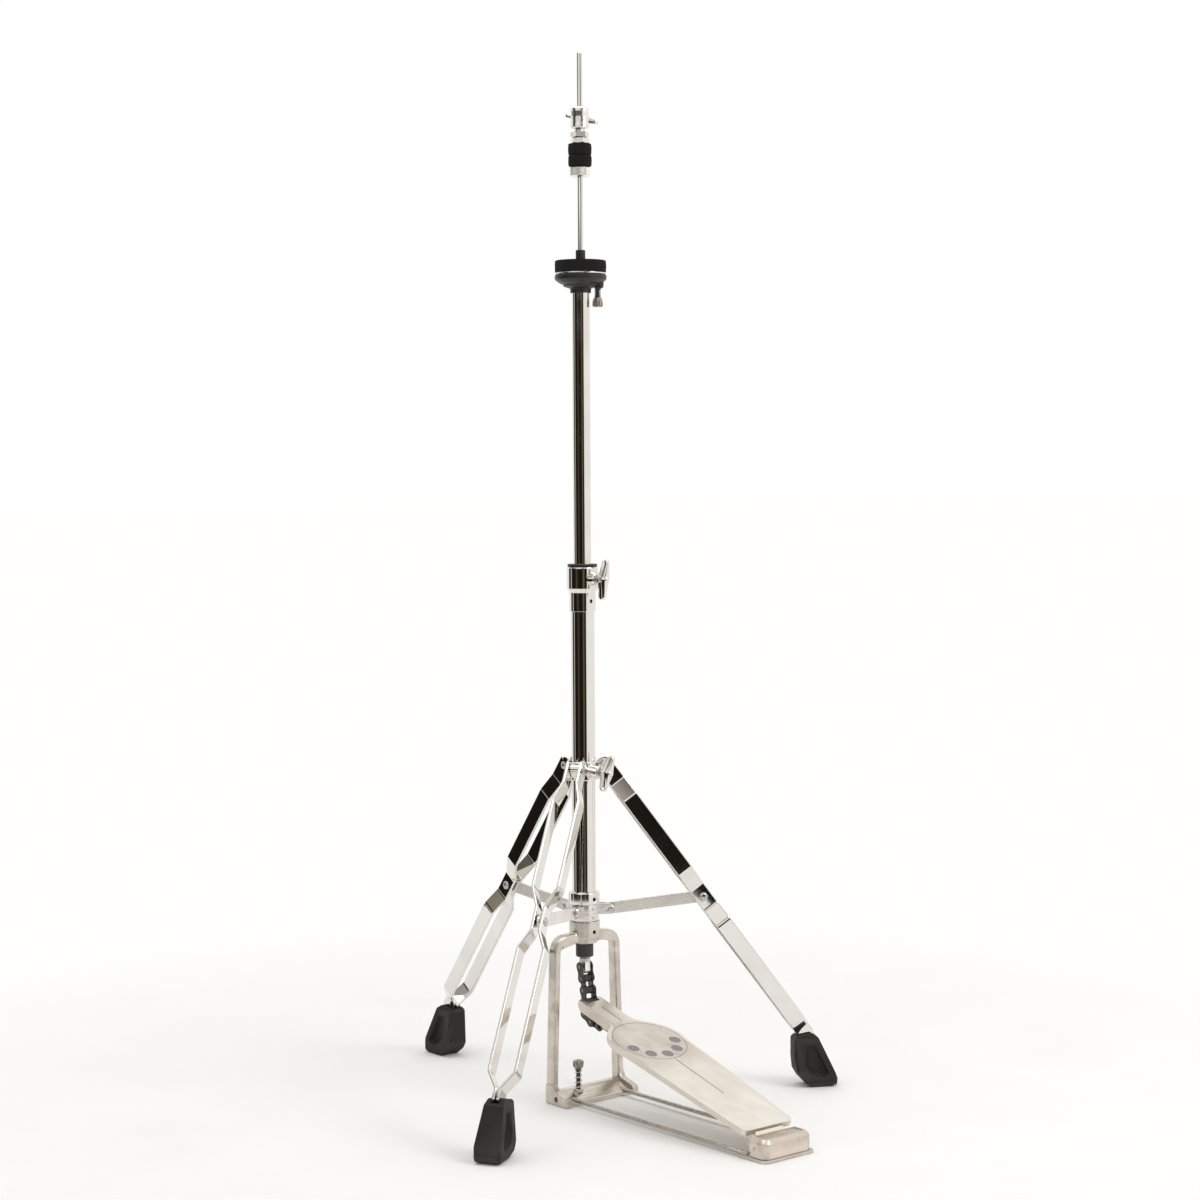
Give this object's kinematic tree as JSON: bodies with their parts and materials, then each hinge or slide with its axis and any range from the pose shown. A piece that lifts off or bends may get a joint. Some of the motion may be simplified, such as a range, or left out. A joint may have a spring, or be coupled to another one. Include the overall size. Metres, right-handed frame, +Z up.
{
  "type": "hi-hat stand",
  "caption": "Hi-hat stand with a chain-driven footboard, telescoping tubes, a pull rod with clutch, a tilting bottom cymbal seat and a double-braced folding tripod.",
  "frame": {"origin": "on the tube axis at the floor, on the underside of the crossbar", "axes": "+Z up the tubes, -Y towards the player's heel, +X to the right of a player who faces +Y"},
  "size_m": [0.4906, 0.5915, 1.1095],
  "materials": {
    "chrome": "mirror chrome plate",
    "satin_steel": "satin plated steel",
    "cast_aluminium": "satin cast aluminium",
    "zinc": "zinc plate",
    "dark_steel": "dark plated steel",
    "chain_black": "oiled black oxide",
    "rubber": "moulded black rubber",
    "black_plastic": "moulded black nylon",
    "black_felt": "pressed black felt"
  },
  "bodies": {
    "stand": {"base_casting": "cast_aluminium", "base_crossbar": "cast_aluminium", "lower_tube": "chrome", "rod_bumper": "rubber", "stop_ring": "chrome", "spring_seat": "zinc", "heel_block": "cast_aluminium", "heel_plate": "cast_aluminium", "heel_pin": "zinc", "radius_rod_left": "chrome", "radius_rod_right": "chrome", "height_collar": "chrome", "height_bush": "black_plastic"},
    "spur": {"spur_bolt": "dark_steel"},
    "height_wing": {"height_wing_bolt": "chrome"},
    "pedal": {"footboard": "cast_aluminium", "toe_clamp": "zinc", "toe_chain": "chain_black"},
    "pull_rod": {"lower_pull_rod": "zinc", "upper_pull_rod": "chrome", "rod_end": "zinc", "spring_cap": "zinc", "return_spring": "zinc"},
    "chain": {"chain_outer_link_1": "chain_black", "chain_inner_link_2": "chain_black", "chain_outer_link_3": "chain_black"},
    "clutch": {"clutch_body": "chrome", "clutch_tube": "chrome", "clutch_lock_nuts": "chrome", "clutch_upper_felt": "black_felt", "clutch_lower_felt": "black_felt"},
    "clutch_wing": {"clutch_wing_bolt": "chrome"},
    "clutch_nut": {"clutch_bottom_nut": "chrome"},
    "seat_post": {"upper_tube": "chrome", "seat_cup": "black_plastic", "seat_sleeve": "black_plastic"},
    "seat_plate": {"seat_washer": "chrome", "seat_felt": "black_felt"},
    "tilter": {"tilter_screw": "dark_steel"},
    "hub": {"brace_hub": "satin_steel", "brace_a_pin": "chrome", "brace_b_pin": "chrome", "brace_c_pin": "chrome"},
    "sliding_collar": {"leg_collar": "chrome", "leg_a_pin": "chrome", "leg_b_pin": "chrome", "leg_c_pin": "chrome"},
    "collar_wing": {"leg_wing_bolt": "chrome"},
    "leg_a": {"leg_a_left_strip": "chrome", "leg_a_right_strip": "chrome", "leg_a_foot": "rubber"},
    "brace_a": {"brace_a": "satin_steel"},
    "leg_b": {"leg_b_left_strip": "chrome", "leg_b_right_strip": "chrome", "leg_b_foot": "rubber"},
    "brace_b": {"brace_b": "satin_steel"},
    "leg_c": {"leg_c_left_strip": "chrome", "leg_c_right_strip": "chrome", "leg_c_foot": "rubber"},
    "brace_c": {"brace_c": "satin_steel"}
  },
  "joints": [
    {"name": "pedal_press", "type": "hinge", "parent": "stand", "child": "pedal", "pos_m": [0, -0.284, 0.0145], "axis": [-1, 0, 0], "range_deg": [0, 9]},
    {"name": "rod_travel", "type": "slide", "parent": "stand", "child": "pull_rod", "axis": [0, 0, -1], "range_m": [0, 0.0436], "stiffness_N_per_m": 900, "springref_m": -0.025, "deforming": ["return_spring"]},
    {"name": "chain_swing", "type": "hinge", "parent": "pull_rod", "child": "chain", "pos_m": [0, 0, 0.141], "axis": [1, 0, 0], "range_deg": [0, 16]},
    {"name": "clutch_height", "type": "slide", "parent": "pull_rod", "child": "clutch", "axis": [0, 0, 1], "range_m": [-0.01, 0.05]},
    {"name": "clutch_wing_turn", "type": "hinge", "parent": "clutch", "child": "clutch_wing", "pos_m": [0, 0, 1.0425], "axis": [0.7071, 0.7071, 0], "range_deg": [0, 360]},
    {"name": "clutch_nut_turn", "type": "hinge", "parent": "clutch", "child": "clutch_nut", "pos_m": [0, 0, 0.985], "axis": [0, 0, 1], "range_deg": [0, 720]},
    {"name": "seat_height", "type": "slide", "parent": "stand", "child": "seat_post", "axis": [0, 0, 1], "range_m": [-0.08, 0.02]},
    {"name": "height_wing_turn", "type": "hinge", "parent": "stand", "child": "height_wing", "pos_m": [0, 0, 0.5565], "axis": [0, -1, 0], "range_deg": [0, 360]},
    {"name": "tilter_turn", "type": "hinge", "parent": "seat_post", "child": "tilter", "pos_m": [0.01273, -0.01273, 0.86], "axis": [0, 0, 1], "range_deg": [0, 720]},
    {"name": "seat_tilt", "type": "hinge", "parent": "seat_post", "child": "seat_plate", "pos_m": [-0.01853, 0.01853, 0.8775], "axis": [-0.7071, -0.7071, 0], "range_deg": [0, 2.1]},
    {"name": "tripod_swivel", "type": "hinge", "parent": "stand", "child": "hub", "pos_m": [0, 0, 0.2], "axis": [0, 0, 1], "range_deg": [-15, 15]},
    {"name": "tripod_fold", "type": "slide", "parent": "hub", "child": "sliding_collar", "axis": [0, 0, 1], "range_m": [0, 0.118]},
    {"name": "leg_wing_turn", "type": "hinge", "parent": "sliding_collar", "child": "collar_wing", "pos_m": [0, 0, 0.352], "axis": [0, -1, 0], "range_deg": [0, 360]},
    {"name": "spur_turn", "type": "hinge", "parent": "stand", "child": "spur", "pos_m": [-0.018, -0.01, 0.02], "axis": [0, 0, 1], "range_deg": [0, 720]},
    {"name": "leg_a_fold", "type": "hinge", "parent": "sliding_collar", "child": "leg_a", "pos_m": [-0.02009, -0.0116, 0.356], "axis": [0.5, -0.866, 0], "range_deg": [0, 24.5]},
    {"name": "brace_a_fold", "type": "hinge", "parent": "hub", "child": "brace_a", "pos_m": [-0.02425, -0.014, 0.203], "axis": [-0.5, 0.866, 0], "range_deg": [0, 66.4]},
    {"name": "leg_b_fold", "type": "hinge", "parent": "sliding_collar", "child": "leg_b", "pos_m": [0, 0.0232, 0.356], "axis": [-1, 0, 0], "range_deg": [0, 24.5]},
    {"name": "brace_b_fold", "type": "hinge", "parent": "hub", "child": "brace_b", "pos_m": [0, 0.028, 0.203], "axis": [1, 0, 0], "range_deg": [0, 66.4]},
    {"name": "leg_c_fold", "type": "hinge", "parent": "sliding_collar", "child": "leg_c", "pos_m": [0.02009, -0.0116, 0.356], "axis": [0.5, 0.866, 0], "range_deg": [0, 24.5]},
    {"name": "brace_c_fold", "type": "hinge", "parent": "hub", "child": "brace_c", "pos_m": [0.02425, -0.014, 0.203], "axis": [-0.5, -0.866, 0], "range_deg": [0, 66.4]}
  ],
  "couplings": [
    {"joint": "rod_travel", "follows": "pedal_press", "m_per_rad": 0.27722},
    {"joint": "chain_swing", "follows": "pedal_press", "ratio": 1.7746},
    {"joint": "seat_tilt", "follows": "tilter_turn", "ratio": 0.002882},
    {"joint": "leg_a_fold", "follows": "tripod_fold", "rad_per_m": 3.609},
    {"joint": "brace_a_fold", "follows": "tripod_fold", "rad_per_m": 9.7951},
    {"joint": "leg_b_fold", "follows": "tripod_fold", "rad_per_m": 3.609},
    {"joint": "brace_b_fold", "follows": "tripod_fold", "rad_per_m": 9.7951},
    {"joint": "leg_c_fold", "follows": "tripod_fold", "rad_per_m": 3.609},
    {"joint": "brace_c_fold", "follows": "tripod_fold", "rad_per_m": 9.7951}
  ]
}
